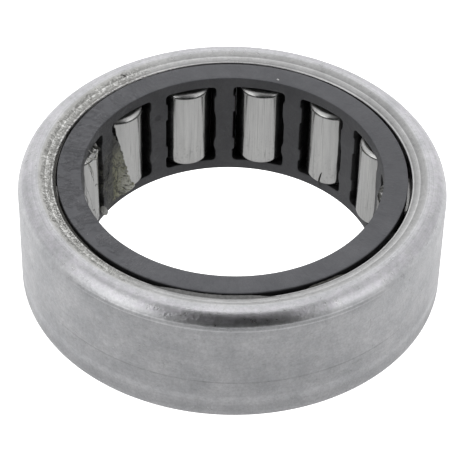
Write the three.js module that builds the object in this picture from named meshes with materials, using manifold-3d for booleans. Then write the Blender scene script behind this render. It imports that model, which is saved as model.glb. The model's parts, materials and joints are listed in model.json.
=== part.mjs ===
// Drawn-cup roller bearing: a lipped steel cup, a moulded cage and thirteen rollers.
// Millimetres, +Z up, origin at the centre of the lower end face.

import * as THREE from "three";
import { mergeVertices } from "three/addons/utils/BufferGeometryUtils.js";
import Module from "manifold-3d";

const wasm = await Module();
wasm.setup();

// ---- driving dimensions -------------------------------------------------

const OUTSIDE_DIAMETER = 62;
const WIDTH = 19;
const INSCRIBED_DIAMETER = 42;
const ROLLER_DIAMETER = 8;
const ROLLER_LENGTH = 13.75;
const ROLLER_COUNT = 13;

// Direction of the first roller, seen from above, measured from +X towards +Y.
const FIRST_ROLLER_ANGLE = THREE.MathUtils.degToRad(80);

// Running gap that stands in for contact between a roller and the raceway.
const RUNNING_GAP = 0.25;

// Cup: shell thickness, end lips and edge roundings.
const LIP_INNER_RADIUS = 25.9;
const UPPER_LIP_THICKNESS = 2;
const LOWER_LIP_THICKNESS = 2.5;
const SHOULDER_RADIUS = 2.7;
const LOWER_EDGE_RADIUS = 1.1;
const LIP_EDGE_RADIUS = 0.35;
const LAND_STEP_RADIUS = 27;
const LAND_DROP = 0.5;
const LAND_EDGE_DROP = 0.65;
const END_FACE_WIDTH = 0.7;
const INNER_CORNER_RADIUS = 0.6;
const WALL_RELIEF = 0.03;
const WALL_RELIEF_Z = 14.3;

// Cage: ring section, height above the lower end face, and pocket windows.
const CAGE_BORE_RADIUS = 21.78;
const CAGE_OUTER_RADIUS = 25.3;
const CAGE_BOTTOM_Z = 0.9;
const CAGE_TOP_Z = 18.7;
const CAGE_EDGE_CHAMFER = 0.25;
const POCKET_BOTTOM_Z = 2.6;
const POCKET_TOP_Z = 16.95;
const POCKET_WIDTH = 8.5;
const POCKET_MOUTH_WIDTH = 7.94;
const POCKET_MOUTH_DEPTH = 1.1;
const POCKET_CORNER_RADIUS = 0.6;

// Rollers: where they sit on the axis, and their end shape.
const ROLLER_BOTTOM_Z = 2.7;
const ROLLER_END_CHAMFER = 0.35;

// Facet counts.
const CUP_SEGMENTS = 80;
const CAGE_SEGMENTS = 78;
const ROLLER_SEGMENTS = 20;
const SHOULDER_STEPS = 6;
const SMALL_EDGE_STEPS = 3;

// ---- worked-out dimensions ----------------------------------------------

const CUP_RADIUS = OUTSIDE_DIAMETER / 2;
const ROLLER_RADIUS = ROLLER_DIAMETER / 2;
const PITCH_RADIUS = INSCRIBED_DIAMETER / 2 + ROLLER_RADIUS;
const RACEWAY_RADIUS = PITCH_RADIUS + ROLLER_RADIUS + RUNNING_GAP;
const ROLLER_STEP = (2 * Math.PI) / ROLLER_COUNT;
const ROLLER_CENTRE_Z = ROLLER_BOTTOM_Z + ROLLER_LENGTH / 2;
const WALL_RADIUS = CUP_RADIUS - WALL_RELIEF;

// ---- materials ----------------------------------------------------------

function tumbledSteel() {
  return new THREE.MeshStandardMaterial({ color: 0xa3a4a5, roughness: 0.42, metalness: 1.0 });
}

function blackPolyamide() {
  return new THREE.MeshStandardMaterial({ color: 0x3c3f43, roughness: 0.55, metalness: 0.0 });
}

function polishedRollerSteel() {
  return new THREE.MeshStandardMaterial({ color: 0xb9b9b6, roughness: 0.16, metalness: 1.0 });
}

// ---- shared helpers -----------------------------------------------------

// Points of a circular edge between two angles, both ends included.
function arcPoints(centreRadius, centreZ, radius, startDegrees, endDegrees, steps) {
  const points = [];
  for (let i = 0; i <= steps; i += 1) {
    const share = i / steps;
    const angle = THREE.MathUtils.degToRad(startDegrees + (endDegrees - startDegrees) * share);
    const r = centreRadius + radius * Math.cos(angle);
    const z = centreZ + radius * Math.sin(angle);
    points.push(new THREE.Vector2(r, z));
  }
  return points;
}

// Turned body about +Z from a (radius, height) profile.
function turned(profile, segments) {
  const geometry = new THREE.LatheGeometry(profile, segments);
  geometry.rotateX(Math.PI / 2);
  return geometry;
}

function toSolid(geometry) {
  const bare = new THREE.BufferGeometry();
  bare.setAttribute("position", geometry.getAttribute("position").clone());
  if (geometry.index) {
    bare.setIndex(geometry.index.clone());
  }
  const merged = mergeVertices(bare, 1e-4);
  const mesh = new wasm.Mesh({
    numProp: 3,
    vertProperties: new Float32Array(merged.getAttribute("position").array),
    triVerts: new Uint32Array(merged.index.array),
  });
  return new wasm.Manifold(mesh);
}

function toGeometry(solid) {
  const mesh = solid.getMesh();
  const geometry = new THREE.BufferGeometry();
  geometry.setAttribute("position", new THREE.BufferAttribute(mesh.vertProperties.slice(), 3));
  geometry.setIndex(new THREE.BufferAttribute(mesh.triVerts.slice(), 1));
  geometry.computeVertexNormals();
  return geometry;
}

function namedMesh(name, geometry, material) {
  const mesh = new THREE.Mesh(geometry, material);
  mesh.name = name;
  return mesh;
}

// ---- outer cup ----------------------------------------------------------

// The outside runs from the lower end face up the wall, over the shoulder and in to the upper lip.
function cupOutsideProfile() {
  const lowerEdgeRadius = WALL_RADIUS - LOWER_EDGE_RADIUS;
  const shoulderCentreRadius = CUP_RADIUS - SHOULDER_RADIUS;
  const shoulderCentreZ = WIDTH - SHOULDER_RADIUS;
  const endFaceInnerRadius = shoulderCentreRadius - END_FACE_WIDTH;
  const lipEdgeZ = WIDTH - LAND_EDGE_DROP;
  return [
    ...arcPoints(lowerEdgeRadius, LOWER_EDGE_RADIUS, LOWER_EDGE_RADIUS, -90, 0, SMALL_EDGE_STEPS + 1),
    new THREE.Vector2(WALL_RADIUS, WALL_RELIEF_Z),
    ...arcPoints(shoulderCentreRadius, shoulderCentreZ, SHOULDER_RADIUS, 0, 90, SHOULDER_STEPS),
    new THREE.Vector2(endFaceInnerRadius, WIDTH),
    new THREE.Vector2(LAND_STEP_RADIUS, WIDTH - LAND_DROP),
    ...arcPoints(
      LIP_INNER_RADIUS + LIP_EDGE_RADIUS,
      lipEdgeZ - LIP_EDGE_RADIUS,
      LIP_EDGE_RADIUS,
      90,
      180,
      SMALL_EDGE_STEPS - 1,
    ),
  ];
}

// The inside runs from the upper lip down the raceway and back in to the lower lip.
function cupInsideProfile() {
  const cornerRadius = RACEWAY_RADIUS - INNER_CORNER_RADIUS;
  const upperLipUndersideZ = WIDTH - UPPER_LIP_THICKNESS;
  return [
    new THREE.Vector2(LIP_INNER_RADIUS, upperLipUndersideZ),
    ...arcPoints(
      cornerRadius,
      upperLipUndersideZ - INNER_CORNER_RADIUS,
      INNER_CORNER_RADIUS,
      90,
      0,
      SMALL_EDGE_STEPS - 1,
    ),
    ...arcPoints(
      cornerRadius,
      LOWER_LIP_THICKNESS + INNER_CORNER_RADIUS,
      INNER_CORNER_RADIUS,
      0,
      -90,
      SMALL_EDGE_STEPS - 1,
    ),
    new THREE.Vector2(LIP_INNER_RADIUS, LOWER_LIP_THICKNESS),
  ];
}

function outerCup() {
  const lowerLipEdge = arcPoints(
    LIP_INNER_RADIUS + LIP_EDGE_RADIUS,
    LIP_EDGE_RADIUS,
    LIP_EDGE_RADIUS,
    180,
    270,
    SMALL_EDGE_STEPS - 1,
  );
  const profile = [...cupOutsideProfile(), ...cupInsideProfile(), ...lowerLipEdge];
  profile.push(profile[0].clone());
  return namedMesh("outer_cup", turned(profile, CUP_SEGMENTS), tumbledSteel());
}

// ---- cage ---------------------------------------------------------------

function cageRing() {
  const c = CAGE_EDGE_CHAMFER;
  const profile = [
    new THREE.Vector2(CAGE_BORE_RADIUS + c, CAGE_BOTTOM_Z),
    new THREE.Vector2(CAGE_OUTER_RADIUS - c, CAGE_BOTTOM_Z),
    new THREE.Vector2(CAGE_OUTER_RADIUS, CAGE_BOTTOM_Z + c),
    new THREE.Vector2(CAGE_OUTER_RADIUS, CAGE_TOP_Z - c),
    new THREE.Vector2(CAGE_OUTER_RADIUS - c, CAGE_TOP_Z),
    new THREE.Vector2(CAGE_BORE_RADIUS + c, CAGE_TOP_Z),
    new THREE.Vector2(CAGE_BORE_RADIUS, CAGE_TOP_Z - c),
    new THREE.Vector2(CAGE_BORE_RADIUS, CAGE_BOTTOM_Z + c),
    new THREE.Vector2(CAGE_BORE_RADIUS + c, CAGE_BOTTOM_Z),
  ];
  return turned(profile, CAGE_SEGMENTS);
}

// Window outline in the plane seen from the bearing axis, rounded at its corners.
function windowShape(width) {
  const halfWidth = width / 2;
  const r = POCKET_CORNER_RADIUS;
  const shape = new THREE.Shape();
  shape.moveTo(-halfWidth + r, POCKET_BOTTOM_Z);
  shape.lineTo(halfWidth - r, POCKET_BOTTOM_Z);
  shape.absarc(halfWidth - r, POCKET_BOTTOM_Z + r, r, -Math.PI / 2, 0, false);
  shape.lineTo(halfWidth, POCKET_TOP_Z - r);
  shape.absarc(halfWidth - r, POCKET_TOP_Z - r, r, 0, Math.PI / 2, false);
  shape.lineTo(-halfWidth + r, POCKET_TOP_Z);
  shape.absarc(-halfWidth + r, POCKET_TOP_Z - r, r, Math.PI / 2, Math.PI, false);
  shape.lineTo(-halfWidth, POCKET_BOTTOM_Z + r);
  shape.absarc(-halfWidth + r, POCKET_BOTTOM_Z + r, r, Math.PI, 1.5 * Math.PI, false);
  return shape;
}

// Cutter of a window of the given width between two radii, pointing along +X.
function windowCutter(width, innerRadius, outerRadius) {
  const geometry = new THREE.ExtrudeGeometry(windowShape(width), {
    depth: outerRadius - innerRadius,
    bevelEnabled: false,
    curveSegments: 2,
  });
  const toRadial = new THREE.Matrix4().makeBasis(
    new THREE.Vector3(0, 1, 0),
    new THREE.Vector3(0, 0, 1),
    new THREE.Vector3(1, 0, 0),
  );
  geometry.applyMatrix4(toRadial);
  geometry.translate(innerRadius, 0, 0);
  return geometry;
}

// One pocket: the roller space, and the narrower mouth that keeps the roller from falling inwards.
function pocketCutter() {
  const margin = 1;
  const mouth = windowCutter(
    POCKET_MOUTH_WIDTH,
    CAGE_BORE_RADIUS - margin,
    CAGE_OUTER_RADIUS + margin,
  );
  const space = windowCutter(
    POCKET_WIDTH,
    CAGE_BORE_RADIUS + POCKET_MOUTH_DEPTH,
    CAGE_OUTER_RADIUS + margin,
  );
  return toSolid(mouth).add(toSolid(space));
}

function cage() {
  const pocket = pocketCutter();
  let body = toSolid(cageRing());
  for (let i = 0; i < ROLLER_COUNT; i += 1) {
    const degrees = THREE.MathUtils.radToDeg(FIRST_ROLLER_ANGLE + i * ROLLER_STEP);
    body = body.subtract(pocket.rotate([0, 0, degrees]));
  }
  return namedMesh("cage", toGeometry(body), blackPolyamide());
}

// ---- rollers ------------------------------------------------------------

function rollerGeometry() {
  const c = ROLLER_END_CHAMFER;
  const half = ROLLER_LENGTH / 2;
  const profile = [
    new THREE.Vector2(0, -half),
    new THREE.Vector2(ROLLER_RADIUS - c, -half),
    new THREE.Vector2(ROLLER_RADIUS, -half + c),
    new THREE.Vector2(ROLLER_RADIUS, half - c),
    new THREE.Vector2(ROLLER_RADIUS - c, half),
    new THREE.Vector2(0, half),
  ];
  return turned(profile, ROLLER_SEGMENTS);
}

function rollers() {
  const group = new THREE.Group();
  group.name = "roller_set";
  for (let i = 0; i < ROLLER_COUNT; i += 1) {
    const label = String(i + 1).padStart(2, "0");
    const angle = FIRST_ROLLER_ANGLE + i * ROLLER_STEP;
    const roller = namedMesh(`roller_${label}`, rollerGeometry(), polishedRollerSteel());
    const x = PITCH_RADIUS * Math.cos(angle);
    const y = PITCH_RADIUS * Math.sin(angle);
    roller.position.set(x, y, ROLLER_CENTRE_Z);
    roller.rotation.z = angle;
    group.add(roller);
  }
  return group;
}

// ---- assembly -----------------------------------------------------------

const bearing = new THREE.Group();
bearing.name = "needle_roller_bearing";
bearing.add(outerCup(), cage(), rollers());

export default bearing;
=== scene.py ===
"""Looks of a drawn-cup roller bearing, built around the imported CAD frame.

Lengths in the constants are millimetres, and MM turns them into metres. Angles given in degrees go
clockwise seen from above, from the far side of the bearing (+y) towards the right (+x).
"""

import json
import math

import bmesh
import bpy
from mathutils import Matrix, Vector, noise


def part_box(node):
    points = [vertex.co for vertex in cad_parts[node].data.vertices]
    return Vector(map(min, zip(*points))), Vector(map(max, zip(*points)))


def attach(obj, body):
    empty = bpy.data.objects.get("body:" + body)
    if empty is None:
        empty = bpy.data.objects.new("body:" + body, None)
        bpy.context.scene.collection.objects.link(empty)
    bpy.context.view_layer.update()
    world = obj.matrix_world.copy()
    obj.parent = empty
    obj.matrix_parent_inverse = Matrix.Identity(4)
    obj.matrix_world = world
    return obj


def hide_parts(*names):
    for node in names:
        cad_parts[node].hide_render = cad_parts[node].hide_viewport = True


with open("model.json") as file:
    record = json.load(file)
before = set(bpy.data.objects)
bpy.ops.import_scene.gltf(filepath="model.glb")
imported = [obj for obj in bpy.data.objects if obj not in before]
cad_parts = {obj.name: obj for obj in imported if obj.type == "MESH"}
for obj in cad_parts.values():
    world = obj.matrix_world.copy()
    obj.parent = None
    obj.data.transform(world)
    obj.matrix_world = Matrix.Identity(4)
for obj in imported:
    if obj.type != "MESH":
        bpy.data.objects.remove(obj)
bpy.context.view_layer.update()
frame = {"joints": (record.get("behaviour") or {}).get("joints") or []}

MM = 0.001

# ---- sizes read from the CAD frame ---------------------------------------

cup_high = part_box("outer_cup")[1]
cage_low, cage_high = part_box("cage")
roller_low, roller_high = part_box("roller_01")
roller_axes = {
    joint["child"]: Vector(joint["pos_m"])
    for joint in frame["joints"]
    if joint["child"].startswith("roller_")
}

CUP_RADIUS = cup_high.x / MM
CUP_WIDTH = cup_high.z / MM
CAGE_TOP = cage_high.z / MM
CAGE_BOTTOM = cage_low.z / MM
ROLLER_TOP = roller_high.z / MM
ROLLER_BOTTOM = roller_low.z / MM
ROLLER_HALF = (ROLLER_TOP - ROLLER_BOTTOM) / 2
ROLLER_MIDDLE = (ROLLER_TOP + ROLLER_BOTTOM) / 2
ROLLER_COUNT = len(roller_axes)
FIRST_ROLLER = roller_axes["roller_01_body"]
FIRST_ANGLE = math.atan2(FIRST_ROLLER.y, FIRST_ROLLER.x)
PITCH_RADIUS = FIRST_ROLLER.xy.length / MM

# ---- sizes of the finished surfaces --------------------------------------

CAGE_OUTER_RADIUS = 25.28
CAGE_BORE_RADIUS = 21.78
CAGE_RING_EDGE = 0.15
ROLLER_RADIUS = 4.0
ROLLER_ROUND = 0.75
RACEWAY_RADIUS = 29.25
LIP_INNER_RADIUS = 25.86
SHOULDER_RADIUS = 2.7
WALL_RELIEF = 0.03
LOWER_EDGE_RADIUS = 1.1
LAND_DEPTH = 0.55
CREST_RADIUS = 1.9
LIP_DEPTH = 0.58
LIP_EDGE_RADIUS = 0.24
RACEWAY_CORNER = 0.6
POCKET_TOP = 16.95
POCKET_BOTTOM = 2.6
POCKET_MOUTH_HALF = 3.97
POCKET_SPACE_HALF = 4.2

SCRIBED_LINE_HEIGHT = 7.0
# heights of two painted highlight lines along faint ridges on the near shoulder
RIDGE_HIGHLIGHT_HEIGHTS = (16.86, 17.39)

CUP_SEGMENTS = 288
ROLLER_SEGMENTS = 96

# ---- places of the small marks, the grease and the streaks ---------------

EJECTOR_ANGLE = -31.8
EJECTOR_HEIGHT = 13.2
GREASE_BAR_ANGLE = -59.0
GREASED_ROLLER = "roller_03_body"
ROLLER_TURN = 1.7
GREASE_EDGE = -0.75
GREASE_SLANT = 0.18
GREASED_OUT = roller_axes[GREASED_ROLLER].xy.normalized()
GREASED_ACROSS = Vector((GREASED_OUT.y, -GREASED_OUT.x))


# ---- mesh helpers --------------------------------------------------------


def new_object(name, vertices, faces, smooth_angle=40):
    """Object from millimetre vertices, welded, with outward normals and smooth shading."""
    mesh = bpy.data.meshes.new(name)
    mesh.from_pydata([Vector(v) * MM for v in vertices], [], faces)
    shape = bmesh.new()
    shape.from_mesh(mesh)
    bmesh.ops.remove_doubles(shape, verts=shape.verts, dist=0.002 * MM)
    bmesh.ops.recalc_face_normals(shape, faces=shape.faces)
    shape.to_mesh(mesh)
    shape.free()
    mesh.shade_smooth()
    mesh.set_sharp_from_angle(angle=math.radians(smooth_angle))
    made = bpy.data.objects.new(name, mesh)
    bpy.context.scene.collection.objects.link(made)
    return made


def arc(centre_r, centre_z, radius, start, end, steps):
    """Points of a circular arc in the (radius, height) plane, in degrees."""
    points = []
    for i in range(steps + 1):
        angle = math.radians(start + (end - start) * i / steps)
        points.append((centre_r + radius * math.cos(angle), centre_z + radius * math.sin(angle)))
    return points


def lathe(name, profile, segments, closed=True, smooth_angle=40):
    """Turned body about the z axis. An open profile starts and ends on the axis."""
    vertices = []
    for i in range(segments):
        angle = 2 * math.pi * i / segments
        c, s = math.cos(angle), math.sin(angle)
        vertices += [(r * c, r * s, z) for r, z in profile]
    count = len(profile)
    spans = count if closed else count - 1
    faces = []
    for i in range(segments):
        a, b = i * count, ((i + 1) % segments) * count
        for j in range(spans):
            k = (j + 1) % count
            corners = [a + j, b + j, b + k, a + k]
            if profile[j][0] == 0:
                corners = [a + j, b + k, a + k]
            if profile[k][0] == 0:
                corners = [a + j, b + j, a + k]
            faces.append(corners)
    return new_object(name, vertices, faces, smooth_angle)


def closed_skin(name, rows, columns, front, back):
    """Thin closed body between two surfaces, each a function of two fractions from 0 to 1."""
    vertices = []
    for surface in (front, back):
        for i in range(rows + 1):
            vertices += [surface(i / rows, j / columns) for j in range(columns + 1)]
    width = columns + 1
    layer = (rows + 1) * width
    faces = []
    for i in range(rows):
        for j in range(columns):
            a = i * width + j
            faces.append((a, a + 1, a + width + 1, a + width))
            faces.append((layer + a, layer + a + width, layer + a + width + 1, layer + a + 1))
    rim = list(range(width))
    rim += [i * width + columns for i in range(1, rows + 1)]
    rim += [rows * width + j for j in range(columns - 1, -1, -1)]
    rim += [i * width for i in range(rows - 1, 0, -1)]
    for a, b in zip(rim, rim[1:] + rim[:1]):
        faces.append((a, b, layer + b, layer + a))
    return new_object(name, vertices, faces)


def strand(name, route, thickness, sides=8, steps=8):
    """Tapered thread through a few points, rounded off at both ends."""
    points = [Vector(p) for p in route]
    smooth = []
    for i in range(len(points) - 1):
        before = points[max(i - 1, 0)]
        after = points[min(i + 2, len(points) - 1)]
        for k in range(steps):
            t = k / steps
            a, b = points[i], points[i + 1]
            ta, tb = (b - before) / 2, (after - a) / 2
            h = t * t * (3 - 2 * t)
            smooth.append(a + (b - a) * h + ta * (t * (1 - t) ** 2) - tb * (t * t * (1 - t)))
    smooth.append(points[-1])
    vertices, faces = [smooth[0]], []
    last = len(smooth) - 1
    for i in range(1, last):
        along = (smooth[i + 1] - smooth[i - 1]).normalized()
        side = along.orthogonal().normalized()
        other = along.cross(side)
        share = i / last
        radius = thickness / 2 * math.sqrt(max(1 - (2 * share - 1) ** 4, 0.02))
        for k in range(sides):
            angle = 2 * math.pi * k / sides
            vertices.append(smooth[i] + radius * (side * math.cos(angle) + other * math.sin(angle)))
    vertices.append(smooth[last])
    rings = last - 1
    end = len(vertices) - 1
    for k in range(sides):
        n = (k + 1) % sides
        faces.append((0, 1 + n, 1 + k))
        faces.append((end, end - sides + k, end - sides + n))
        for i in range(rings - 1):
            a = 1 + i * sides
            faces.append((a + k, a + n, a + sides + n, a + sides + k))
    return new_object(name, vertices, faces, 80)


def on_circle(degrees, radius):
    """Point of a circle about the bearing axis."""
    angle = math.radians(90 - degrees)
    return radius * math.cos(angle), radius * math.sin(angle)


def on_bore(degrees, height, inwards=0.0):
    """Point at the cage bore, inwards mm nearer to the axis."""
    return (*on_circle(degrees, CAGE_BORE_RADIUS - inwards), height)


def smoothstep(low, high, x):
    """0 below low, 1 above high, and a smooth rise between them."""
    t = min(max((x - low) / (high - low), 0.0), 1.0)
    return t * t * (3 - 2 * t)


def ragged(x, y, seed=0.0):
    """Smooth random number from -1 to 1."""
    return noise.noise(Vector((x, y, seed))) + 0.5 * noise.noise(Vector((2.3 * x, 2.3 * y, seed + 7.0)))


# ---- shader helpers ------------------------------------------------------


class Shader:
    """Small wrapper that builds one material's node tree."""

    def __init__(self, name):
        self.material = bpy.data.materials.new(name)
        self.material.use_nodes = True
        self.tree = self.material.node_tree
        self.bsdf = self.tree.nodes["Principled BSDF"]
        self.coordinates = self.tree.nodes.new("ShaderNodeTexCoord")

    def link(self, source, target):
        if isinstance(source, (int, float)):
            target.default_value = source
        elif isinstance(source, tuple):
            target.default_value = source if len(source) != 3 else (*source, 1.0)
        else:
            self.tree.links.new(source, target)

    def position(self):
        """Object position in millimetres."""
        node = self.tree.nodes.new("ShaderNodeVectorMath")
        node.operation = "SCALE"
        self.tree.links.new(self.coordinates.outputs["Object"], node.inputs[0])
        node.inputs["Scale"].default_value = 1 / MM
        return node.outputs[0]

    def math(self, operation, a, b=0.0):
        node = self.tree.nodes.new("ShaderNodeMath")
        node.operation = operation
        self.link(a, node.inputs[0])
        self.link(b, node.inputs[1])
        return node.outputs[0]

    def add(self, *values):
        total = values[0]
        for value in values[1:]:
            total = self.math("ADD", total, value)
        return total

    def times(self, *values):
        product = values[0]
        for value in values[1:]:
            product = self.math("MULTIPLY", product, value)
        return product

    def split(self, vector):
        node = self.tree.nodes.new("ShaderNodeSeparateXYZ")
        self.tree.links.new(vector, node.inputs[0])
        return node.outputs

    def join(self, x, y, z):
        node = self.tree.nodes.new("ShaderNodeCombineXYZ")
        for value, socket in zip((x, y, z), node.inputs):
            self.link(value, socket)
        return node.outputs[0]

    def noise(self, vector, scale, detail=3.0, roughness=0.55, distortion=0.0):
        node = self.tree.nodes.new("ShaderNodeTexNoise")
        self.tree.links.new(vector, node.inputs["Vector"])
        node.inputs["Scale"].default_value = scale
        node.inputs["Detail"].default_value = detail
        node.inputs["Roughness"].default_value = roughness
        node.inputs["Distortion"].default_value = distortion
        return node.outputs["Fac"]

    def remap(self, value, low, high, to_low=0.0, to_high=1.0, smooth=False):
        node = self.tree.nodes.new("ShaderNodeMapRange")
        if smooth:
            node.interpolation_type = "SMOOTHSTEP"
        self.link(value, node.inputs["Value"])
        node.inputs["From Min"].default_value = low
        node.inputs["From Max"].default_value = high
        node.inputs["To Min"].default_value = to_low
        node.inputs["To Max"].default_value = to_high
        return node.outputs["Result"]

    def blend(self, factor, low, high):
        """low where factor is 0 and high where it is 1. Any of the three may be a socket."""
        node = self.tree.nodes.new("ShaderNodeMix")
        node.data_type = "FLOAT"
        self.link(factor, node.inputs[0])
        self.link(low, node.inputs[2])
        self.link(high, node.inputs[3])
        return node.outputs[0]

    def pulse(self, value, centre, half, soft):
        """1 within half of centre, falling smoothly to 0 over soft."""
        away = self.math("ABSOLUTE", self.math("SUBTRACT", value, centre))
        return self.remap(away, half, half + soft, 1.0, 0.0, True)

    def ramp(self, value, low, high, stops):
        """Grey level read from (value, level) stops between low and high."""
        node = self.tree.nodes.new("ShaderNodeValToRGB")
        self.link(self.remap(value, low, high), node.inputs[0])
        elements = node.color_ramp.elements
        while len(elements) < len(stops):
            elements.new(0.5)
        for element, (at, level) in zip(elements, stops):
            element.position = (at - low) / (high - low)
            element.color = (level, level, level, 1.0)
        return node.outputs[0]

    def distance(self, vector, centre, stretch=(1.0, 1.0, 1.0)):
        """Distance in mm from a point, with each axis scaled by stretch."""
        offset = self.tree.nodes.new("ShaderNodeVectorMath")
        offset.operation = "SUBTRACT"
        self.tree.links.new(vector, offset.inputs[0])
        offset.inputs[1].default_value = centre
        scaled = self.tree.nodes.new("ShaderNodeVectorMath")
        scaled.operation = "MULTIPLY"
        self.tree.links.new(offset.outputs[0], scaled.inputs[0])
        scaled.inputs[1].default_value = stretch
        length = self.tree.nodes.new("ShaderNodeVectorMath")
        length.operation = "LENGTH"
        self.tree.links.new(scaled.outputs[0], length.inputs[0])
        return length.outputs["Value"]

    def scale(self, colour, factor):
        """Colour times a grey factor."""
        node = self.tree.nodes.new("ShaderNodeVectorMath")
        node.operation = "SCALE"
        self.link(colour, node.inputs[0])
        self.link(factor, node.inputs["Scale"])
        return node.outputs[0]

    def mix(self, factor, a, b):
        node = self.tree.nodes.new("ShaderNodeMix")
        node.data_type = "RGBA"
        self.link(factor, node.inputs[0])
        self.link(a, node.inputs[6])
        self.link(b, node.inputs[7])
        return node.outputs[2]

    def bump(self, height, distance, normal=None):
        """Bump of a 0 to 1 height, with the distance in millimetres."""
        node = self.tree.nodes.new("ShaderNodeBump")
        node.inputs["Distance"].default_value = distance * MM
        self.link(height, node.inputs["Height"])
        if normal is not None:
            self.tree.links.new(normal, node.inputs["Normal"])
        return node.outputs[0]

    def set(self, **sockets):
        for name, value in sockets.items():
            self.link(value, self.bsdf.inputs[name.replace("_", " ")])
        return self.material


def cylinder_coordinates(shader):
    """Radius, arc length at a 30 mm radius, and height, all in millimetres."""
    x, y, z = shader.split(shader.position())
    radius = shader.math("SQRT", shader.add(shader.times(x, x), shader.times(y, y)))
    turn = shader.times(shader.math("ARCTAN2", y, x), 30.0)
    return radius, turn, z


# ---- materials -----------------------------------------------------------


def wall_tone(s, y, height, draw, mottle):
    """Faint bands and lines that run round the cup wall, a painted highlight line at the lower edge, and two
    painted highlight lines along faint ridges at the near shoulder.
    """
    near = s.remap(y, -27.5, -20.0, 1.0, 0.0, True)
    broken = s.remap(draw, 0.36, 0.52)
    in_front = s.remap(y, -24.0, -16.0, 1.0, 0.0, True)
    strength = s.add(s.times(broken, 0.5), 0.5)
    scribed = s.times(s.pulse(height, SCRIBED_LINE_HEIGHT, 0.06, 0.10), strength, in_front)
    patchy = s.times(s.pulse(height, 2.0, 0.4, 0.5), s.remap(mottle, 0.40, 0.55))
    lower_line, upper_line = RIDGE_HIGHLIGHT_HEIGHTS
    return s.times(
        s.remap(scribed, 0.0, 1.0, 1.0, 0.80),
        s.remap(s.pulse(height, 3.7, 0.25, 0.5), 0.0, 1.0, 1.0, 1.10),
        s.remap(patchy, 0.0, 1.0, 1.0, 0.86),
        # painted highlight: a thin bright line on the rounding of the lower edge
        s.remap(s.pulse(height, 0.75, 0.08, 0.15), 0.0, 1.0, 1.0, 1.15),
        # painted highlights: two bright lines along faint ridges, on the near shoulder only
        s.remap(s.times(near, s.pulse(height, lower_line, 0.05, 0.10)), 0.0, 1.0, 1.0, 1.30),
        s.remap(s.times(near, s.pulse(height, upper_line, 0.05, 0.10)), 0.0, 1.0, 1.0, 1.40),
        s.remap(height, 1.0, 6.0, 1.10, 1.0),
    )


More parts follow.
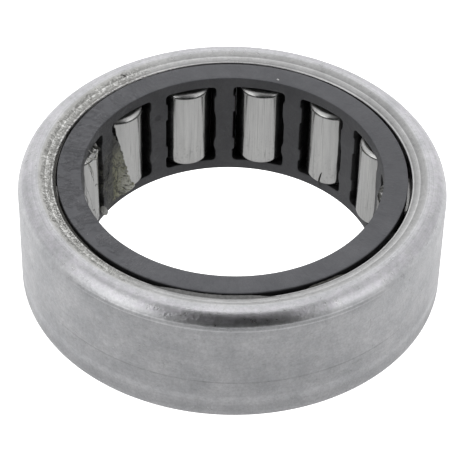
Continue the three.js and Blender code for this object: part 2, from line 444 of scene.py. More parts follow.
def cup_material():
    """Tumbled drawn steel: grained wall with draw lines and painted highlight lines, and a duller turned
    land at the lip with painted highlights on its edge and ridge and painted shade in its grooves.
    """
    s = Shader("cup_tumbled_steel")
    p = s.position()
    x, y, z = s.split(p)
    radius, turn, height = cylinder_coordinates(s)
    around = s.join(s.times(turn, 0.05), radius, height)

    cloud = s.noise(p, 0.22, 4.0, 0.6)
    mottle = s.noise(p, 1.1, 5.0, 0.62)
    grain = s.noise(p, 2.8, 3.0, 0.7)
    draw = s.noise(around, 2.2, 4.0, 0.65)
    wobble = s.times(s.math("SUBTRACT", s.noise(p, 0.12, 2.0), 0.5), 0.25)
    rings = s.noise(s.join(s.add(radius, wobble), 0.0, 0.0), 5.0, 3.0, 0.6)

    tone = s.times(
        s.remap(cloud, 0.3, 0.7, 0.91, 1.09),
        s.remap(mottle, 0.3, 0.7, 0.91, 1.09),
        s.remap(grain, 0.3, 0.7, 0.90, 1.10),
        s.remap(draw, 0.35, 0.65, 0.97, 1.03),
        wall_tone(s, y, height, draw, mottle),
    )
    on_wall = s.remap(height, 15.5, 17.5, 1.0, 0.0, True)
    tone = s.times(tone, s.blend(on_wall, 0.98, 1.13))

    # the land between the crest and the bore of the lip, by radius: turning rings, painted highlights on the
    # lip's rounded edge and on the ridge, painted shade along the two grooves, mostly faded out towards the
    # front
    at_top = s.remap(height, CUP_WIDTH - 1.1, CUP_WIDTH - 0.9, 0.0, 1.0, True)
    land = s.ramp(
        s.add(radius, s.times(wobble, 0.25)),
        25.8,
        28.6,
        [
            (25.92, 1.10),
            (26.06, 1.10),
            (26.18, 0.62),
            (26.55, 0.72),
            (26.86, 0.94),
            (26.98, 1.10),
            (27.12, 0.60),
            (27.36, 0.72),
            (27.90, 0.82),
            (28.20, 1.00),
        ],
    )
    # the inner land is lighter towards the left and front and darker towards the right and back
    darker_to_right_back = s.remap(s.add(x, s.times(y, 0.7)), 0.0, 26.0, 1.06, 0.91)
    land = s.times(land, s.remap(rings, 0.35, 0.65, 0.90, 1.10))
    land = s.blend(s.remap(y, -27.0, -16.0, 0.85, 0.0), land, 1.0)
    flat_land = s.remap(radius, 27.7, 28.2, 1.0, 0.0, True)
    land = s.times(land, s.blend(flat_land, 1.0, darker_to_right_back))
    tone = s.times(tone, s.blend(at_top, 1.0, land))

    # old grease rubbed into the land on the left, wrinkled across it
    left = s.times(s.remap(x, -19.0, -8.0, 1.0, 0.0, True), s.remap(y, -27.0, -23.0, 0.0, 1.0, True))
    skin = s.join(s.times(turn, 1.2), s.times(radius, 0.6), z)
    smear = s.noise(skin, 0.9, 4.0, 0.65, 1.6)
    wrinkle = s.pulse(s.noise(skin, 1.5, 5.0, 0.74, 1.4), 0.5, 0.010, 0.035)
    spread = s.times(s.math("SUBTRACT", s.noise(p, 0.7, 3.0), 0.5), 1.6)
    on_land = s.times(s.pulse(s.add(radius, spread), 26.6, 0.8, 0.4), at_top)
    grime = s.times(left, on_land, s.remap(smear, 0.42, 0.60))
    creases = s.times(left, on_land, wrinkle)

    steel = s.mix(s.remap(cloud, 0.35, 0.65), (0.602, 0.608, 0.626), (0.630, 0.630, 0.644))
    lilac = s.times(s.remap(mottle, 0.4, 0.6), s.remap(radius, 28.0, 28.8), at_top)
    steel = s.mix(lilac, steel, (0.624, 0.613, 0.648))
    oiled = s.mix(left, (0.62, 0.62, 0.622), (0.632, 0.631, 0.615))
    colour = s.mix(s.times(s.pulse(radius, 26.9, 0.9, 0.4), at_top), steel, oiled)
    colour = s.scale(colour, tone)
    colour = s.scale(colour, s.remap(s.times(left, on_land), 0.0, 1.0, 1.0, 1.46))
    colour = s.mix(s.times(grime, 0.20), colour, (0.26, 0.257, 0.23))
    colour = s.mix(s.times(creases, 0.70), colour, (0.13, 0.127, 0.11))

    rough = s.add(s.remap(mottle, 0.3, 0.7, 0.27, 0.34), s.remap(draw, 0.35, 0.65, -0.02, 0.03))
    rough = s.add(rough, s.times(grime, 0.15))
    lines = s.times(s.remap(rings, 0.35, 0.65), s.pulse(radius, 27.0, 0.9, 0.3), at_top)
    normal = s.bump(grain, 0.034)
    normal = s.bump(mottle, 0.018, normal)
    normal = s.bump(s.noise(p, 0.22, 1.0), 0.06, normal)
    normal = s.bump(lines, 0.012, normal)
    normal = s.bump(draw, 0.006, normal)
    normal = s.bump(s.times(wrinkle, left, on_land), 0.05, normal)
    return s.set(Base_Color=colour, Metallic=1.0, Roughness=rough, Normal=normal)


def cage_material():
    """Black glass-filled polyamide: satin grain, top face painted lighter as lit from above and marked with
    specks and scratches, painted shade inside the pockets and towards the cup.
    """
    s = Shader("cage_black_polyamide")
    p = s.position()
    x, y, z = s.split(p)
    radius, turn, height = cylinder_coordinates(s)
    cloud = s.noise(p, 0.22, 4.0, 0.6)
    flow = s.noise(s.join(s.times(turn, 1.2), s.times(radius, 0.35), height), 1.1, 5.0, 0.65)
    grain = s.noise(p, 3.2, 3.0, 0.65)
    shade = s.add(s.times(cloud, 0.5), s.times(flow, 0.3), s.times(grain, 0.2))
    colour = s.mix(s.remap(shade, 0.38, 0.62), (0.072, 0.073, 0.080), (0.108, 0.109, 0.116))
    # painted light: the top face is lighter than the rest of the moulding, lightest at the front and a
    # little lighter at the back and the left, as if lit from above
    top = s.remap(height, CAGE_TOP - 0.14, CAGE_TOP - 0.03, 0.0, 1.0, True)
    painted_top_light = s.mix(s.remap(shade, 0.38, 0.62), (0.108, 0.111, 0.124), (0.156, 0.158, 0.172))
    lit = s.add(s.remap(y, -24.0, -2.0, 1.01, 0.83, True), s.remap(y, 4.0, 20.0, 0.0, 0.09, True))
    painted_top_light = s.scale(painted_top_light, s.add(lit, s.remap(x, -24.0, -14.0, 0.05, 0.0, True)))
    colour = s.mix(top, colour, painted_top_light)

    # specks and fine light scratches on the top face, most of them at the left
    left = s.remap(x, -25.0, -6.0, 1.0, 0.18, True)
    bent = s.join(s.times(turn, 0.9), s.times(radius, 0.5), z)
    sparse = s.remap(s.noise(p, 0.35, 2.0), 0.41, 0.53)
    scratch = s.times(s.pulse(s.noise(bent, 0.8, 3.0, 0.55, 2.0), 0.5, 0.005, 0.02), sparse)
    speck = s.remap(s.noise(p, 2.6, 2.0, 0.5), 0.755, 0.79)
    colour = s.mix(s.times(scratch, left, top, 0.38), colour, (0.34, 0.34, 0.36))
    colour = s.mix(s.times(speck, left, top, 0.9), colour, (0.45, 0.45, 0.45))

    # painted shade: every surface outside the bore and below the top face, the pocket walls and the wall
    # towards the cup, darkened nearly to black
    pocket_shade = s.remap(radius, CAGE_BORE_RADIUS + 0.03, CAGE_BORE_RADIUS + 0.12, 0.0, 1.0, True)
    below = s.remap(height, CAGE_TOP - 0.30, CAGE_TOP - 0.15, 1.0, 0.0, True)
    colour = s.mix(s.times(pocket_shade, below), colour, (0.012, 0.012, 0.013))

    # round ejector mark on the bar to the left of the middle
    mark = s.remap(s.distance(p, on_bore(EJECTOR_ANGLE, EJECTOR_HEIGHT)), 0.30, 0.75, 1.0, 0.0, True)
    colour = s.mix(s.times(mark, 0.70), colour, (0.026, 0.026, 0.028))

    # olive grease smeared over the bar beside the greased roller
    away = s.distance(p, on_bore(GREASE_BAR_ANGLE, 7.0), (1.0, 1.0, 0.40))
    blotch = s.noise(s.join(s.times(turn, 1.4), radius, s.times(height, 0.7)), 1.3, 5.0, 0.7, 1.2)
    grease = s.times(s.remap(away, 1.0, 3.4, 1.0, 0.0, True), s.remap(blotch, 0.40, 0.60))
    tint = s.mix(s.remap(flow, 0.45, 0.56), (0.020, 0.020, 0.017), (0.235, 0.235, 0.190))
    colour = s.mix(s.times(grease, 0.80), colour, tint)

    rough = s.add(s.remap(flow, 0.3, 0.7, 0.40, 0.54), s.times(grease, -0.20))
    ripple = s.noise(s.join(s.times(turn, 1.6), s.times(radius, 0.30), height), 1.5, 3.0, 0.6, 1.5)
    normal = s.bump(grain, 0.020)
    normal = s.bump(flow, 0.05, normal)
    normal = s.bump(s.times(ripple, left, sparse), 0.42, normal)
    normal = s.bump(mark, 0.03, normal)
    normal = s.bump(s.times(blotch, grease), 0.16, normal)
    return s.set(Base_Color=colour, Metallic=0.0, Roughness=rough, Normal=normal)


def roller_material(finish, shade_strength=0.0):
    """Superfinished bearing steel with lengthwise smears, and slanting oil streaks if not ground.

    finish is ground, streaked or shaded. Streaked and shaded rollers stand unturned, so their own x
    axis runs across the view. shade_strength is how dark the painted shade on the left side is, 0 to 1.
    """
    s = Shader(f"roller_{finish}_steel")
    p = s.position()
    x, y, z = s.split(p)
    smear = s.noise(s.join(x, y, s.times(z, 0.10)), 1.4, 5.0, 0.65)
    fine = s.noise(s.join(x, y, s.times(z, 0.05)), 5.0, 2.0, 0.6)
    scratch = s.pulse(s.noise(s.join(x, y, s.times(z, 0.015)), 0.9, 2.0, 0.5), 0.52, 0.002, 0.006)
    pits = s.noise(p, 2.2, 4.0, 0.7)
    pitted = s.times(s.remap(pits, 0.33, 0.42, 1.0, 0.0), s.remap(z, 0.0, -4.0, 0.25, 1.0))
    hone = s.noise(s.join(s.times(x, 0.3), s.times(y, 0.3), z), 7.0, 2.0, 0.6)
    colour = s.mix(s.remap(smear, 0.36, 0.64), (0.585, 0.585, 0.58), (0.66, 0.66, 0.65))
    tone = s.times(
        s.remap(fine, 0.28, 0.42, 0.88, 1.0),
        s.remap(pitted, 0.0, 1.0, 1.0, 0.78),
        s.remap(scratch, 0.0, 1.0, 1.0, 0.72),
    )
    colour = s.scale(colour, tone)
    if finish != "ground":
        bend = s.times(s.noise(s.join(x, y, s.times(z, 0.3)), 0.5), 1.6)
        phase = s.add(s.times(x, 0.95), s.times(z, 0.16), bend)
        broken = s.remap(s.noise(p, 0.6, 2.0), 0.42, 0.52)
        veins = s.times(s.pulse(s.math("FRACT", phase), 0.5, 0.008, 0.028), broken)
        # dark oil streaks, and painted shade in patches on the left side, as strong as shade_strength
        film = s.times(s.remap(x, -3.0, -1.0, 1.0, 0.0), s.remap(smear, 0.35, 0.50), shade_strength)
        colour = s.mix(s.math("MAXIMUM", s.times(veins, 0.8), film), colour, (0.045, 0.045, 0.04))
    at_end = s.remap(s.math("ABSOLUTE", z), ROLLER_HALF - 0.45, ROLLER_HALF - 0.30)
    rough = s.add(s.remap(smear, 0.3, 0.7, 0.10, 0.19), s.times(at_end, 0.26))
    normal = s.bump(hone, 0.0012)
    normal = s.bump(smear, 0.008, normal)
    return s.set(Base_Color=colour, Metallic=1.0, Roughness=rough, Normal=normal)


def grease_material():
    """Olive grease, dark where it lies thick in the corner and streaky towards its thin edge."""
    s = Shader("olive_grease")
    p = s.position()
    x, y, z = s.split(p)
    side = s.add(s.times(x, GREASED_ACROSS.x), s.times(y, GREASED_ACROSS.y))
    edge = s.add(side, s.times(z, GREASE_SLANT), -GREASE_EDGE - 3.0 * GREASE_SLANT)
    swirl = s.noise(s.join(s.add(side, s.times(z, 0.35)), x, s.times(z, 0.8)), 1.0, 5.0, 0.68, 1.4)
    fibre = s.noise(s.join(s.times(side, 0.5), 0.0, s.add(z, s.times(side, 0.5))), 2.6, 4.0, 0.7, 0.5)
    thin = s.remap(s.add(edge, s.times(s.math("SUBTRACT", swirl, 0.5), 3.0)), -2.4, -0.5)
    thin = s.times(thin, s.remap(z, 7.5, 4.0, 0.30, 1.0))
    colour = s.mix(s.remap(swirl, 0.42, 0.56), (0.030, 0.031, 0.022), (0.250, 0.250, 0.150))
    colour = s.mix(s.times(thin, s.remap(fibre, 0.40, 0.52)), colour, (0.72, 0.72, 0.65))
    on_bar = s.remap(side, -3.9, -4.5, 0.0, 0.80, True)
    colour = s.mix(on_bar, colour, (0.075, 0.076, 0.075))
    upper = s.remap(s.add(z, s.times(swirl, 3.0)), 11.0, 14.5, 0.0, 0.9, True)
    colour = s.mix(upper, colour, (0.030, 0.030, 0.030))
    rough = s.remap(fibre, 0.35, 0.65, 0.28, 0.42)
    normal = s.bump(swirl, 0.16)
    normal = s.bump(fibre, 0.06, normal)
    return s.set(Base_Color=colour, Metallic=0.0, Roughness=rough, Normal=normal)


def residue_material(name, dark, light, roughness):
    """Speckled matter of one kind: grease film in the gap, dark lint or a pale flake."""
    s = Shader(name)
    p = s.position()
    speckle = s.noise(p, 2.4, 4.0, 0.65)
    colour = s.mix(s.remap(speckle, 0.36, 0.64), dark, light)
    rough = s.remap(speckle, 0.3, 0.7, roughness, roughness + 0.12)
    return s.set(Base_Color=colour, Metallic=0.0, Roughness=rough, Normal=s.bump(speckle, 0.03))


def clear_grease_material():
    """Clear glossy grease, a little cloudy."""
    s = Shader("clear_grease")
    cloudy = s.noise(s.position(), 2.0, 3.0)
    colour = s.mix(s.remap(cloudy, 0.4, 0.6), (0.80, 0.80, 0.74), (0.97, 0.97, 0.94))
    rough = s.remap(cloudy, 0.3, 0.7, 0.03, 0.10)
    normal = s.bump(cloudy, 0.04)
    return s.set(Base_Color=colour, Transmission_Weight=0.55, IOR=1.45, Roughness=rough, Normal=normal)


# ---- the cup -------------------------------------------------------------


def cup_profile():
    """Closed section of the cup, from the lower end face round the outside and back inside."""
    wall = CUP_RADIUS - WALL_RELIEF
    top = CUP_WIDTH
    points = [(26.6, 0.03), (27.2, 0.0), (28.6, 0.0)]
    points += arc(wall - LOWER_EDGE_RADIUS, LOWER_EDGE_RADIUS, LOWER_EDGE_RADIUS, -90, 0, 14)
    points += [(wall, 1.9 + i * 1.1) for i in range(11)]
    bulge_start, bulge_end = 13.4, top - SHOULDER_RADIUS
    for i in range(1, 8):
        z = bulge_start + (bulge_end - bulge_start) * i / 8
        points.append((wall + WALL_RELIEF * smoothstep(bulge_start, bulge_end, z), z))
    points += arc(CUP_RADIUS - SHOULDER_RADIUS, top - SHOULDER_RADIUS, SHOULDER_RADIUS, 0, 90, 36)
    points += arc(CUP_RADIUS - SHOULDER_RADIUS, top - CREST_RADIUS, CREST_RADIUS, 92, 108, 6)[1:]
    points += [(27.42, top - 0.19), (27.20, top - 0.27), (27.04, top - 0.325), (26.98, top - 0.33)]
    points += [(26.92, top - 0.345), (26.84, top - 0.375), (26.6, top - 0.45)]
    points += [(26.35, top - 0.52), (26.18, top - 0.565)]
    edge_centre = LIP_INNER_RADIUS + LIP_EDGE_RADIUS
    points += arc(edge_centre, top - LIP_DEPTH - LIP_EDGE_RADIUS, LIP_EDGE_RADIUS, 78, 176, 8)
    points += [(LIP_INNER_RADIUS - 0.1, top - 1.4), (LIP_INNER_RADIUS - 0.22, top - 1.85)]
    points += [(LIP_INNER_RADIUS - 0.12, top - 2.0), (LIP_INNER_RADIUS + 0.2, top - 2.02)]
    points += arc(RACEWAY_RADIUS - RACEWAY_CORNER, top - 2.6, RACEWAY_CORNER, 90, 0, 6)
    points += arc(RACEWAY_RADIUS - RACEWAY_CORNER, 3.1, RACEWAY_CORNER, 0, -90, 6)
    points += [(LIP_INNER_RADIUS + 0.05, 2.5), (LIP_INNER_RADIUS, 2.0)]
    points += arc(LIP_INNER_RADIUS + 0.4, 0.45, 0.4, 180, 265, 8)
    return points


def build_cup():
    """The cup, in place of the CAD cup."""
    cup = lathe("cup_shell", cup_profile(), CUP_SEGMENTS)
    cup.data.materials.append(cup_material())
    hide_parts("outer_cup")
    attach(cup, "cup_body")


# ---- the cage ------------------------------------------------------------

RIM_ROUND = 0.10
RIM_STEPS = 4
WINDOW_CORNER = 0.65
LUGS = ((4.8, 6.9), (12.2, 15.2))
LUG_HEIGHT = 0.26
LUG_FLANK = 0.10
CORNER_STEPS = 6
END_STEPS = 12
PLATE_RINGS = 3
FLANK_STEPS = 7
SIDE_SPAN_STEPS = 3


def side_heights():
    """Heights along a window's straight side, closer together where a lug rises."""
    low, high = POCKET_BOTTOM + WINDOW_CORNER, POCKET_TOP - WINDOW_CORNER
    knots = [low]
    for start, end in LUGS:
        knots += [start - LUG_FLANK, start + LUG_FLANK, end - LUG_FLANK, end + LUG_FLANK]
    knots.append(high)
    heights = []
    for a, b in zip(knots, knots[1:]):
        heights += [a + (b - a) * i / SIDE_SPAN_STEPS for i in range(SIDE_SPAN_STEPS)]
    return heights


SIDE_HEIGHTS = side_heights()
SIDE_STEPS = len(SIDE_HEIGHTS)


def window_contour():
    """Points (x, z) of the rounded window at the mouth, x from its middle, counterclockwise."""
    corner = WINDOW_CORNER
    low, high = POCKET_BOTTOM, POCKET_TOP
    half = POCKET_MOUTH_HALF
    inner = half - corner

    def rounded(centre_x, centre_z, start):
        points = []
        for i in range(CORNER_STEPS):
            a = math.radians(start + 90 * i / CORNER_STEPS)
            points.append((centre_x + corner * math.cos(a), centre_z + corner * math.sin(a)))
        return points

    points = [(-inner + 2 * inner * i / END_STEPS, low) for i in range(END_STEPS)]
    points += rounded(inner, low + corner, -90)
    points += [(half, z) for z in SIDE_HEIGHTS]
    points += rounded(inner, high - corner, 0)
    points += [(inner - 2 * inner * i / END_STEPS, high) for i in range(END_STEPS)]
    points += rounded(-inner, high - corner, 90)
    points += [(-half, low + high - z) for z in SIDE_HEIGHTS]
    points += rounded(-inner, low + corner, 180)
    return points


def plate_border():
    """Points (angle, z) on the edge of one pocket's share of the cage, one for each contour point."""
    half = math.pi / ROLLER_COUNT
    low, high = CAGE_BOTTOM + CAGE_RING_EDGE, CAGE_TOP - CAGE_RING_EDGE
    along_end = END_STEPS + CORNER_STEPS
    along_side = SIDE_STEPS + CORNER_STEPS
    around = 2 * (along_end + along_side)
    points = []
    for i in range(around):
        k = (i + CORNER_STEPS / 2) % around
        if k < along_end:
            points.append((-half + 2 * half * k / along_end, low))
            continue
        k -= along_end
        if k < along_side:
            points.append((half, low + (high - low) * k / along_side))
            continue
        k -= along_side
        if k < along_end:
            points.append((half - 2 * half * k / along_end, high))
            continue
        k -= along_end
        points.append((-half, high - (high - low) * k / along_side))
    return points


def lug(z):
    """How far the roller-retaining lugs stand into the window mouth at a height, in mm."""
    total = 0.0
    for low, high in LUGS:
        rise = smoothstep(low - LUG_FLANK, low + LUG_FLANK, z)
        total += rise - smoothstep(high - LUG_FLANK, high + LUG_FLANK, z)
    return LUG_HEIGHT * total


def flank_offset(radius, z):
    """Sideways growth of the window at a radius: lugs at the mouth, roller room behind them."""
    room = POCKET_SPACE_HALF - POCKET_MOUTH_HALF
    open_up = smoothstep(CAGE_BORE_RADIUS + 0.6, CAGE_BORE_RADIUS + 1.5, radius)
    return room * open_up - lug(z) * (1 - open_up)


def window_point(x, z, radius, rim):
    """Contour point at a radius, with its flank offset and pushed outwards by rim."""
    share = x / POCKET_MOUTH_HALF
    across = x + math.copysign(min(abs(share) ** 3, 1.0), x) * flank_offset(radius, z)
    middle = (POCKET_TOP + POCKET_BOTTOM) / 2
    straight_x = POCKET_MOUTH_HALF - WINDOW_CORNER
    straight_z = (POCKET_TOP - POCKET_BOTTOM) / 2 - WINDOW_CORNER
    dx = x - max(-straight_x, min(straight_x, x))
    dz = (z - middle) - max(-straight_z, min(straight_z, z - middle))
    length = math.hypot(dx, dz)
    if length < 1e-9:
        return across, z
    return across + rim * dx / length, z + rim * dz / length


def window_stations():
    """(radius, rim) of the loops from the bore to the outside: rounded, straight, rounded."""
    inner, outer = CAGE_BORE_RADIUS, CAGE_OUTER_RADIUS
    quarter = [math.pi / 2 * step / RIM_STEPS for step in range(RIM_STEPS + 1)]
    stations = [(inner + RIM_ROUND * (1 - math.cos(a)), RIM_ROUND * (1 - math.sin(a))) for a in quarter]
    depth = outer - inner - 2 * RIM_ROUND
    stations += [(inner + RIM_ROUND + depth * i / FLANK_STEPS, 0.0) for i in range(1, FLANK_STEPS)]
    stations += [(outer - RIM_ROUND * (1 - math.sin(a)), RIM_ROUND * (1 - math.cos(a))) for a in quarter]
    return stations


def ring_section(end_z, sign):
    """Section (radius, z) of an end ring, from the bore over its end face to the outside."""
    inner, outer, edge = CAGE_BORE_RADIUS, CAGE_OUTER_RADIUS, CAGE_RING_EDGE
    quarter = [math.pi / 2 * step / RIM_STEPS for step in range(RIM_STEPS + 1)]
    section = [(inner + edge * (1 - math.cos(a)), end_z - sign * edge * (1 - math.sin(a))) for a in quarter]
    section += [(inner + edge + (outer - inner - 2 * edge) * i / 6, end_z) for i in range(1, 6)]
    section += [(outer - edge * (1 - math.sin(a)), end_z - sign * edge * (1 - math.cos(a))) for a in quarter]
    return section


def build_cage():
    """The cage, one closed moulding made of equal sectors, in place of the CAD cage."""
    contour = window_contour()
    border = plate_border()
    stations = window_stations()
    along_end = END_STEPS + CORNER_STEPS
    half = math.pi / ROLLER_COUNT
    vertices, faces = [], []

    def point(theta, radius, z):
        vertices.append((radius * math.cos(theta), radius * math.sin(theta), z))
        return len(vertices) - 1

    def window_loop(middle, radius, rim):
        loop = []
        for x, z in contour:
            across, height = window_point(x, z, radius, rim)
            loop.append(point(middle + math.asin(across / radius), radius, height))
        return loop

    def plate_loop(middle, radius, share):
        """Loop between the sector border (share 0) and the window rim (share 1)."""
        loop = []
        for (border_angle, border_z), (x, z) in zip(border, contour):
            across, height = window_point(x, z, radius, RIM_ROUND)
            angle = border_angle * (1 - share) + math.asin(across / radius) * share
            loop.append(point(middle + angle, radius, border_z * (1 - share) + height * share))
        return loop

    for sector in range(ROLLER_COUNT):
        middle = FIRST_ANGLE + 2 * math.pi * sector / ROLLER_COUNT
        shares = [ring / PLATE_RINGS for ring in range(PLATE_RINGS)]
        loops = [plate_loop(middle, CAGE_BORE_RADIUS, share) for share in shares]
        loops += [window_loop(middle, radius, rim) for radius, rim in stations]
        loops += [plate_loop(middle, CAGE_OUTER_RADIUS, share) for share in reversed(shares)]
        for first, second in zip(loops, loops[1:]):
            for i in range(len(contour)):
                j = (i + 1) % len(contour)
                faces.append((first[i], first[j], second[j], second[i]))
        thetas = [middle - half + 2 * half * i / along_end for i in range(along_end + 1)]
        for end_z, sign in ((CAGE_TOP, 1), (CAGE_BOTTOM, -1)):
            section = ring_section(end_z, sign)
            rows = [[point(theta, r, z) for r, z in section] for theta in thetas]
            for row, following in zip(rows, rows[1:]):
                for k in range(len(section) - 1):
                    faces.append((row[k], following[k], following[k + 1], row[k + 1]))

    cage = new_object("cage_moulding", vertices, faces, 50)
    cage.data.materials.append(cage_material())
    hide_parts("cage")
    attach(cage, "cage_body")


# ---- the rollers ---------------------------------------------------------


def roller_end(sign):
    """Section of one end, from the axis out to the cylinder: flat face and rounded rim."""
    flat = ROLLER_RADIUS - ROLLER_ROUND
    points = [(0.0, ROLLER_HALF), (flat * 0.4, ROLLER_HALF), (flat * 0.8, ROLLER_HALF)]
    points += arc(flat, ROLLER_HALF - ROLLER_ROUND, ROLLER_ROUND, 90, 0, 14)
    return [(radius, sign * z) for radius, z in points]


def build_rollers():
    """The thirteen rollers. Each is made about its own axis, in place of a CAD roller."""
    clean = roller_material("ground")
    # roller 11 gets painted shade on its side towards the bore
    unturned = {"04": roller_material("streaked"), "11": roller_material("shaded", 0.9)}
    body = [(ROLLER_RADIUS, ROLLER_HALF - 0.9 - i * (2 * ROLLER_HALF - 1.8) / 8) for i in range(9)]
    profile = roller_end(1) + body + roller_end(-1)[::-1]
    for body_name, axis in sorted(roller_axes.items()):
        number = body_name.split("_")[1]
        roller = lathe(f"ground_roller_{number}", profile, ROLLER_SEGMENTS, closed=False, smooth_angle=30)
        roller.location = (axis.x, axis.y, ROLLER_MIDDLE * MM)
        roller.data.materials.append(unturned.get(number, clean))
        if number not in unturned:
            roller.rotation_euler.z = int(number) * ROLLER_TURN
        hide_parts(f"roller_{number}")
        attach(roller, body_name)


# ---- grease, lint and other matter left on the bearing -------------------

GREASE_LOW = 1.9
GREASE_HIGH = 14.4
GREASE_GAP = 0.04
GREASE_ROWS = 96
GREASE_COLUMNS = 28


def grease_sides(z):
    """Where the smear starts on the bar and ends on the roller at a height, across its pocket."""
    left = -4.5 - 1.0 * smoothstep(2.5, 5.0, z) * (1 - smoothstep(6.0, 11.0, z))
    left += 0.5 * smoothstep(9.0, 14.0, z)
    left += 0.35 * ragged(z * 0.9, 0.0, 1.0)
    right = GREASE_EDGE - GREASE_SLANT * (z - 3.0) + 0.28 * ragged(z * 1.6, 0.0, 2.0)
    right += 0.8 * (1 - smoothstep(2.4, 5.5, z)) - 2.2 * (1 - smoothstep(GREASE_LOW, 3.0, z))
    right -= 0.6 * smoothstep(11.5, 14.0, z)
    right += 0.16 * abs(ragged(z * 3.6, 0.0, 9.0))
    return left, right


def grease_surface(height_share, across_share, face):
    """Point of the smear's face (1 towards the axis, 0 behind) in the pocket of the greased roller."""
    z = GREASE_LOW + (GREASE_HIGH - GREASE_LOW) * height_share
    left, right = grease_sides(z)
    u = left + (right - left) * across_share
    inside = min(height_share, 1 - height_share) * 8, across_share * 5, (1 - across_share) * 5
    lump = 0.10 + 0.10 * ragged(u * 0.9, z * 0.6, 3.0) + 0.04 * ragged(u * 3.0, z * 2.0, 4.0)
    thick = face * max(lump, 0.03) * smoothstep(0.0, 1.0, min(inside)) + 0.02 * face
    bore = CAGE_BORE_RADIUS - thick + (1 - face) * 0.12
    depth = math.sqrt(bore * bore - u * u)
    reach = ROLLER_RADIUS + GREASE_GAP + thick
    if abs(u) < reach:
        depth = min(depth, PITCH_RADIUS - math.sqrt(reach * reach - u * u))
    x, y = GREASED_OUT * depth + GREASED_ACROSS * u
    return x, y, z


def build_grease():
    """Smear from the bar over the pocket's edge on to the greased roller. It turns with the cage."""
    smear = closed_skin(
        "grease_smear",
        GREASE_ROWS,
        GREASE_COLUMNS,
        lambda i, j: grease_surface(i, j, 1),
        lambda i, j: grease_surface(i, j, 0),
    )
    smear.data.materials.append(grease_material())
    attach(smear, "cage_body")


def gap_film(name, start, end, inner, outer, drop, material):
    """Film in the gap between the cage and the lip, from start to end degrees, drop below the land."""
    top = CUP_WIDTH - LAND_DEPTH - drop

    def point(along, across, face):
        degrees = start + (end - start) * along
        taper = smoothstep(0.0, 0.25, along) * (1 - smoothstep(0.70, 1.0, along))
        edge = outer - (outer - inner) * taper + 0.07 * ragged(degrees * 0.8, 0.0, 5.0)
        edge = min(max(edge, inner - 0.05), outer - 0.05)
        radius = edge + (outer - edge) * across
        x, y = on_circle(degrees, radius)
        ripple = 0.012 * ragged(degrees * 1.5, radius * 3, 6.0)
        return x, y, top + (0.035 * taper + ripple - 0.05 * across if face else -0.30)

    film = closed_skin(name, 96, 8, lambda i, j: point(i, j, 1), lambda i, j: point(i, j, 0))
    film.data.materials.append(material)
    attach(film, "cup_body")


def build_gap_films():
    """Three films of grease that bridge the gap from the lip towards the cage."""
    grey = residue_material("grey_grease", (0.13, 0.13, 0.13), (0.22, 0.22, 0.215), 0.38)
    brown = residue_material("brown_grease", (0.006, 0.006, 0.005), (0.075, 0.072, 0.060), 0.35)
    gap_film("gap_grease_front", 164.0, 208.0, 25.48, 26.25, 0.0, grey)
    gap_film("gap_grease_left", 214.0, 300.0, 25.50, 25.98, 0.35, brown)
    gap_film("gap_grease_right", 141.0, 158.0, 25.56, 25.98, 0.12, brown)


def build_residue():
    """Clear grease threads, a dark clump and a drip at the left, two lint fibres and a pale flake."""
    clear = clear_grease_material()
    dark = residue_material("dark_lint", (0.02, 0.02, 0.018), (0.07, 0.07, 0.06), 0.50)
    pale = residue_material("pale_flake", (0.60, 0.60, 0.60), (0.80, 0.80, 0.80), 0.50)
    crest = CUP_WIDTH - 0.10
    pieces = [
        ("grease_thread_1", "cage_body", clear, 0.16, [
            on_bore(-77.5, 18.3, 0.1),
            on_bore(-76.0, 17.4, 0.4),
            on_bore(-74.2, 16.7, 0.5),
            on_bore(-73.0, 17.5, 0.3),
        ]),
        ("grease_thread_2", "cage_body", clear, 0.26, [
            on_bore(-77.8, 17.0, 0.1),
            on_bore(-76.2, 16.3, 1.0),
            on_bore(-74.0, 16.6, 1.0),
            on_bore(-71.2, 16.7, 0.7),
            on_bore(-69.4, 17.2, 0.1),
        ]),
        ("grease_clump", "cage_body", dark, 0.50, [
            on_bore(-71.8, 17.2, 0.1),
            on_bore(-71.0, 16.85, 0.6),
            on_bore(-70.0, 16.3, 0.9),
        ]),
        ("grease_thread_3", "cage_body", clear, 0.14, [
            on_bore(-78.6, 17.0, 0.03),
            on_bore(-78.1, 15.6, 0.42),
            on_bore(-77.0, 14.4, 0.64),
            on_bore(-76.6, 13.0, 0.72),
        ]),
        ("grease_drip", "cage_body", clear, 1.05, [
            on_bore(-65.4, 3.2, 0.15),
            on_bore(-64.2, 2.4, 0.30),
            on_bore(-63.2, 1.45, 0.25),
        ]),
        ("lint_fibre", "cage_body", dark, 0.17, [
            on_bore(38.2, 1.5, 0.05),
            on_bore(38.8, 2.4, 0.5),
            on_bore(39.2, 3.6, 0.9),
            on_bore(40.0, 5.1, 0.86),
        ]),
        ("pale_flake", "cage_body", pale, 0.24, [
            (*on_circle(16.2, 22.66), CAGE_TOP),
            (*on_circle(17.2, 22.52), CAGE_TOP),
        ]),
        ("lip_fibre", "cup_body", dark, 0.16, [
            (*on_circle(-38.35, 27.70), crest),
            (*on_circle(-38.0, 27.52), crest - 0.03),
            (*on_circle(-37.6, 27.30), crest - 0.11),
            (*on_circle(-37.3, 27.13), crest - 0.17),
        ]),
    ]
    for name, body, material, thickness, route in pieces:
        piece = strand(name, route, thickness)
        piece.data.materials.append(material)
        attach(piece, body)


# ---- studio --------------------------------------------------------------

CAMERA_DISTANCE = 341.0
CAMERA_ELEVATION = math.radians(40.66)
CAMERA_PITCH = math.radians(1.46)
CAMERA_YAW = math.radians(0.036)
CAMERA_ROLL = math.radians(1.345)
SENSOR_WIDTH = 36.0
FOCAL_LENGTH = 183.2


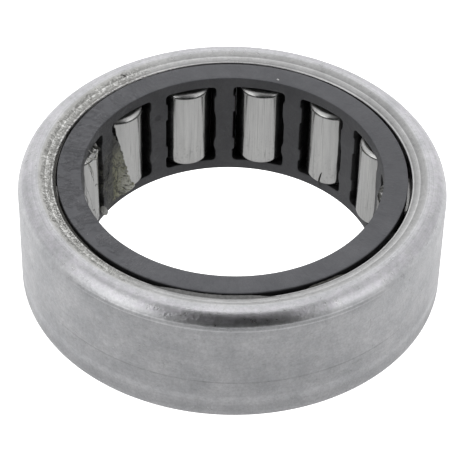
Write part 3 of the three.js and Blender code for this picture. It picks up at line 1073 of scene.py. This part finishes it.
def build_camera():
    """Long lens, looking down at the far rim and turned slightly about its own axis."""
    data = bpy.data.cameras.new("photo_camera")
    data.sensor_width = SENSOR_WIDTH
    data.lens = FOCAL_LENGTH
    data.clip_end = 20
    camera = bpy.data.objects.new("photo_camera", data)
    bpy.context.scene.collection.objects.link(camera)
    aim = Vector((0, 0, CAGE_TOP * MM))
    away = Vector((0, -math.cos(CAMERA_ELEVATION), math.sin(CAMERA_ELEVATION)))
    place = aim + away * CAMERA_DISTANCE * MM
    down = CAMERA_ELEVATION + CAMERA_PITCH
    forward = Vector((
        math.sin(CAMERA_YAW) * math.cos(down),
        math.cos(CAMERA_YAW) * math.cos(down),
        -math.sin(down),
    ))
    right = forward.cross(Vector((0, 0, 1))).normalized()
    up = right.cross(forward)
    turned_right = right * math.cos(CAMERA_ROLL) + up * math.sin(CAMERA_ROLL)
    turned_up = up * math.cos(CAMERA_ROLL) - right * math.sin(CAMERA_ROLL)
    basis = Matrix((turned_right, turned_up, -forward)).transposed()
    camera.matrix_world = Matrix.Translation(place) @ basis.to_4x4()
    bpy.context.scene.camera = camera


def stage_material(name, colour, glow):
    """Matt stage surface that reflects colour and also gives off an even glow."""
    material = bpy.data.materials.new(name)
    material.use_nodes = True
    bsdf = material.node_tree.nodes["Principled BSDF"]
    bsdf.inputs["Base Color"].default_value = (colour, colour, colour, 1.0)
    bsdf.inputs["Roughness"].default_value = 1.0
    bsdf.inputs["Specular IOR Level"].default_value = 0.0
    bsdf.inputs["Emission Color"].default_value = (1.0, 1.0, 1.0, 1.0)
    bsdf.inputs["Emission Strength"].default_value = glow
    return material


def floor(name, height, colour, glow):
    """Square of floor a given height in mm above zero."""
    half = 3.0
    corners = [(-half, -half), (half, -half), (half, half), (-half, half)]
    mesh = bpy.data.meshes.new(name)
    mesh.from_pydata([(x, y, height * MM) for x, y in corners], [], [(0, 1, 2, 3)])
    mesh.materials.append(stage_material(name, colour, glow))
    plane = bpy.data.objects.new(name, mesh)
    bpy.context.scene.collection.objects.link(plane)
    return plane


def glow_towards_back(material):
    """Floor light that grows from the viewer's side to the back, as from a lit backdrop."""
    tree = material.node_tree
    coordinates = tree.nodes.new("ShaderNodeTexCoord")
    split = tree.nodes.new("ShaderNodeSeparateXYZ")
    tree.links.new(coordinates.outputs["Object"], split.inputs[0])
    grow = tree.nodes.new("ShaderNodeMapRange")
    tree.links.new(split.outputs["Y"], grow.inputs["Value"])
    grow.inputs["From Min"].default_value = -40 * MM
    grow.inputs["From Max"].default_value = 30 * MM
    grow.inputs["To Min"].default_value = 0.0
    grow.inputs["To Max"].default_value = 0.48
    bsdf = tree.nodes["Principled BSDF"]
    tree.links.new(grow.outputs["Result"], bsdf.inputs["Emission Strength"])


def tent_panel(name, glow, radius, corners, steps=12):
    """Part of a light tent's dome, seen only by its light.

    The corners are the x and y of four directions on the unit dome, with the viewer at -y.
    """
    dome = [Vector((x, y, math.sqrt(1 - x * x - y * y))) for x, y in corners]
    near_left, near_right, far_right, far_left = dome
    vertices = []
    for i in range(steps + 1):
        left = near_left.lerp(far_left, i / steps)
        right = near_right.lerp(far_right, i / steps)
        for j in range(steps + 1):
            vertices.append(left.lerp(right, j / steps).normalized() * radius)
    faces = []
    for i in range(steps):
        for j in range(steps):
            a = i * (steps + 1) + j
            faces.append((a, a + steps + 1, a + steps + 2, a + 1))
    mesh = bpy.data.meshes.new(name)
    mesh.from_pydata(vertices, [], faces)
    mesh.materials.append(stage_material(name, 0.02, glow))
    panel = bpy.data.objects.new(name, mesh)
    panel.visible_camera = False
    bpy.context.scene.collection.objects.link(panel)


def build_studio():
    """Pale floor and a light tent of glowing panels, with a dark opening on the viewer's side."""
    scene = bpy.context.scene
    scene.view_settings.view_transform = "Standard"
    world = bpy.data.worlds.new("studio_tent")
    world.use_nodes = True
    background = world.node_tree.nodes["Background"]
    background.inputs["Color"].default_value = (1.0, 1.0, 1.0, 1.0)
    background.inputs["Strength"].default_value = 0.70
    scene.world = world
    seen = floor("floor_seen", -0.4, 1.0, 1.0)
    seen.visible_diffuse = False
    seen.visible_glossy = False
    seen.visible_shadow = False
    bounce = floor("floor_bounce", -0.2, 0.74, 0.0)
    bounce.visible_camera = False
    glow_towards_back(bounce.data.materials[0])
    tent_panel("backdrop", 1.0, 0.90, [(-0.72, 0.68), (0.72, 0.68), (0.55, 0.60), (-0.55, 0.60)])
    tent_panel("tent_opening", 0.02, 0.90, [(-0.52, -0.852), (0.648, -0.760), (0.33, -0.14), (-0.30, -0.14)])
    tent_panel("opening_edge", 0.20, 0.90, [(-0.30, -0.14), (0.33, -0.14), (0.24, 0.04), (-0.24, 0.04)])
    tent_panel("softbox_left", 1.45, 0.88, [(-0.91, -0.41), (-0.52, -0.82), (-0.34, -0.25), (-0.59, 0.06)])
    tent_panel("softbox_right", 1.45, 0.88, [(0.665, -0.67), (0.915, -0.26), (0.63, -0.02), (0.425, -0.15)])
    tent_panel("strip_left", 1.6, 0.88, [(-0.20, 0.19), (-0.05, 0.15), (-0.085, 0.62), (-0.14, 0.66)])
    tent_panel("strip_right", 1.6, 0.88, [(0.05, 0.15), (0.20, 0.19), (0.14, 0.66), (0.085, 0.62)])
    tent_panel("strip_front", 1.6, 0.87, [(-0.20, 0.05), (0.20, 0.05), (0.20, 0.16), (-0.20, 0.16)])


# ---- assembly ------------------------------------------------------------

build_camera()
build_studio()
build_cup()
build_cage()
build_rollers()
build_grease()
build_gap_films()
build_residue()
